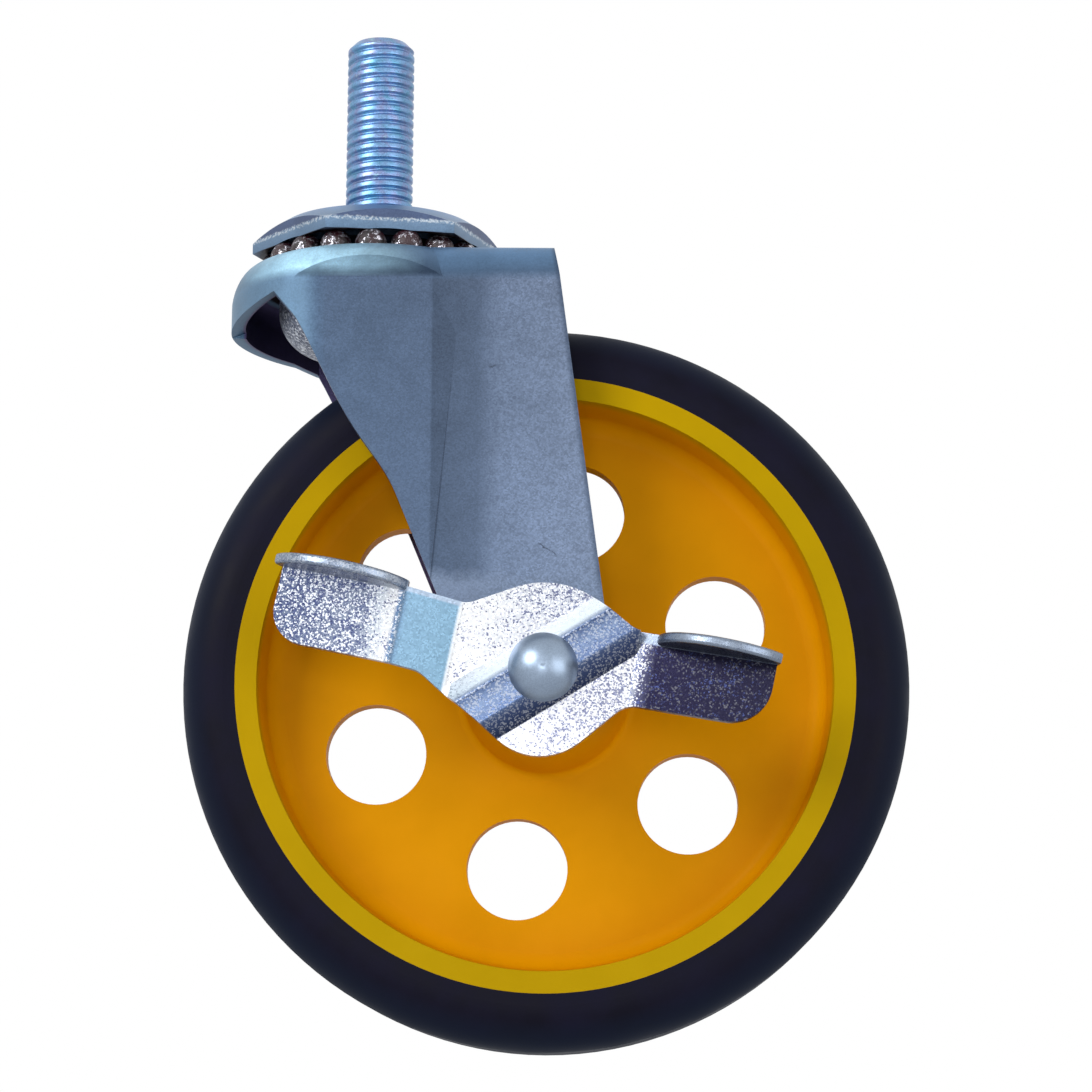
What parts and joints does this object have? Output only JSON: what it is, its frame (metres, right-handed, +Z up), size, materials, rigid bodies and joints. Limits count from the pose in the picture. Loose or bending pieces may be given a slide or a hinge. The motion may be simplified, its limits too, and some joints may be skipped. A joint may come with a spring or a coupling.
{
  "type": "swivel castor",
  "caption": "Swivel castor with a threaded stem, hexagonal top plate, pressed steel fork, rubber-tyred plastic wheel and a rocking side brake lever.",
  "frame": {"origin": "on the swivel axis at the mounting face, which is the top of the hexagonal plate at the base of the threaded stem", "axes": "+Z up the stem, +X towards the trailing wheel, +Y along the axle away from the brake lever"},
  "size_m": [0.125, 0.0733, 0.1807],
  "materials": {
    "zinc_stem": "bright blue zinc plate",
    "zinc_plate": "zinc plate, turned",
    "zinc_fork": "dull zinc plate, pressed sheet",
    "zinc_lever": "bright zinc plate, stamped, fine grain",
    "zinc_rough": "zinc plate over a rough forging",
    "axle_steel": "zinc plate, turned and headed",
    "bearing_steel": "polished and greasy",
    "yellow_plastic": "moulded, half gloss",
    "black_rubber": "moulded rubber",
    "nylon": "moulded",
    "nut_ring": "moulded"
  },
  "bodies": {
    "stem": {"threaded_stem": "zinc_stem", "hex_top_plate": "zinc_plate", "lower_race": "zinc_rough"},
    "upper_ball_ring": {"upper_balls": "bearing_steel"},
    "lower_ball_ring": {"lower_balls": "bearing_steel"},
    "fork": {"fork": "zinc_fork", "axle_sleeve": "axle_steel", "friction_washer_near": "axle_steel", "friction_washer_far": "axle_steel", "axle_bolt": "axle_steel", "axle_washer": "axle_steel", "axle_lock_nut": "axle_steel", "lock_nut_insert": "nut_ring", "brake_cam_plate": "axle_steel"},
    "roller_set": {"bearing_rollers": "bearing_steel", "roller_cage": "nylon"},
    "wheel": {"wheel_centre": "yellow_plastic", "tyre": "black_rubber"},
    "brake_lever": {"brake_lever": "zinc_lever"}
  },
  "joints": [
    {"name": "swivel", "type": "hinge", "parent": "stem", "child": "fork", "pos_m": [0, 0, 0], "axis": [0, 0, 1], "continuous": true},
    {"name": "upper_balls_orbit", "type": "hinge", "parent": "stem", "child": "upper_ball_ring", "pos_m": [0, 0, 0], "axis": [0, 0, 1], "continuous": true},
    {"name": "lower_balls_orbit", "type": "hinge", "parent": "stem", "child": "lower_ball_ring", "pos_m": [0, 0, 0], "axis": [0, 0, 1], "continuous": true},
    {"name": "wheel_spin", "type": "hinge", "parent": "fork", "child": "wheel", "pos_m": [0.0305, 0, -0.0832], "axis": [0, 1, 0], "continuous": true},
    {"name": "rollers_orbit", "type": "hinge", "parent": "fork", "child": "roller_set", "pos_m": [0.0305, 0, -0.0832], "axis": [0, 1, 0], "continuous": true},
    {"name": "brake_rock", "type": "hinge", "parent": "fork", "child": "brake_lever", "pos_m": [0.0305, 0, -0.0832], "axis": [0, -1, 0], "range_deg": [0, 24]}
  ],
  "couplings": [
    {"joint": "upper_balls_orbit", "follows": "swivel", "ratio": 0.5},
    {"joint": "lower_balls_orbit", "follows": "swivel", "ratio": 0.5},
    {"joint": "rollers_orbit", "follows": "wheel_spin", "ratio": 0.602}
  ]
}
